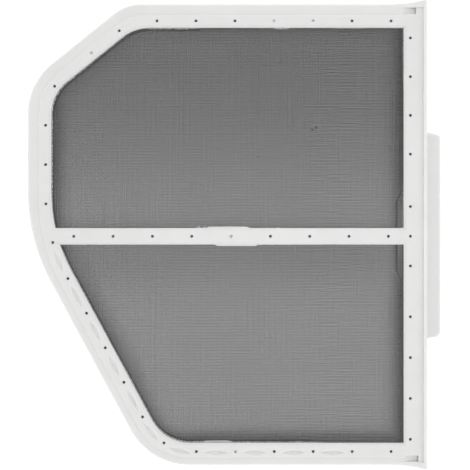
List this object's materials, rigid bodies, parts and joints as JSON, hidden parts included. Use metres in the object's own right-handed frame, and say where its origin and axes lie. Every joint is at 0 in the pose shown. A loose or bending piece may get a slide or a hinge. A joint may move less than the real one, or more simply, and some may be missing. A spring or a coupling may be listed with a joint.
{
  "type": "tumble dryer lint filter",
  "caption": "Flat lint screen for a tumble dryer: white moulded frame with crossbar, flange, pull lip and finger scoop round a grey woven mesh.",
  "frame": {"origin": "middle of the plan's bounding box, on the plane the screen lies on", "axes": "+X from the insertion edge to the handle, +Y along the flange towards the chamfered corner, +Z out of the lint side"},
  "size_m": [0.3016, 0.3414, 0.012],
  "materials": {
    "frame_plastic": "white moulded polypropylene, satin",
    "mesh_fabric": "grey woven polyester monofilament, open weave"
  },
  "bodies": {
    "root": {"frame": "frame_plastic", "mesh": "mesh_fabric"}
  },
  "joints": []
}
